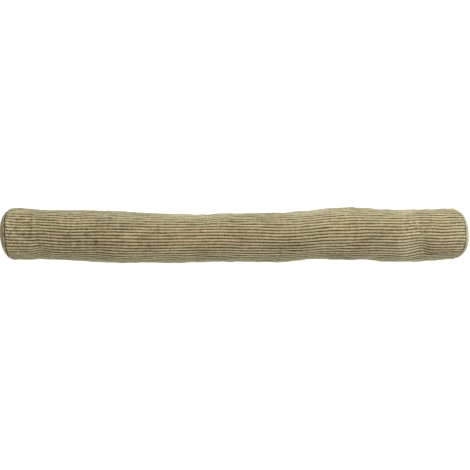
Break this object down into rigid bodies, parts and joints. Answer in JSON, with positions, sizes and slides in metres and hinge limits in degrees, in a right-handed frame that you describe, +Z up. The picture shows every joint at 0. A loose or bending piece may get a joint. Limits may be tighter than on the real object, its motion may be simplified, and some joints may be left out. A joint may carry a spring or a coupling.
{
  "type": "draught excluder",
  "caption": "Long stuffed tube of olive wide-ribbed corduroy with a round sewn panel at each end, laid along the foot of a door to stop draughts.",
  "frame": {"origin": "on the floor, at the middle of the tube's footprint", "axes": "+X along the tube towards the end whose seam draws back further at its sides, +Y towards the back, +Z up from the floor"},
  "size_m": [0.9, 0.107, 0.0976],
  "materials": {
    "sleeve_corduroy": "wide-wale cotton corduroy with a brushed pile, matt with a faint sheen",
    "end_panel_corduroy": "wide-wale cotton corduroy with a brushed pile, matt with a faint sheen"
  },
  "bodies": {
    "root": {"sleeve": "sleeve_corduroy", "end_panel_left": "end_panel_corduroy", "end_panel_right": "end_panel_corduroy"}
  },
  "joints": []
}
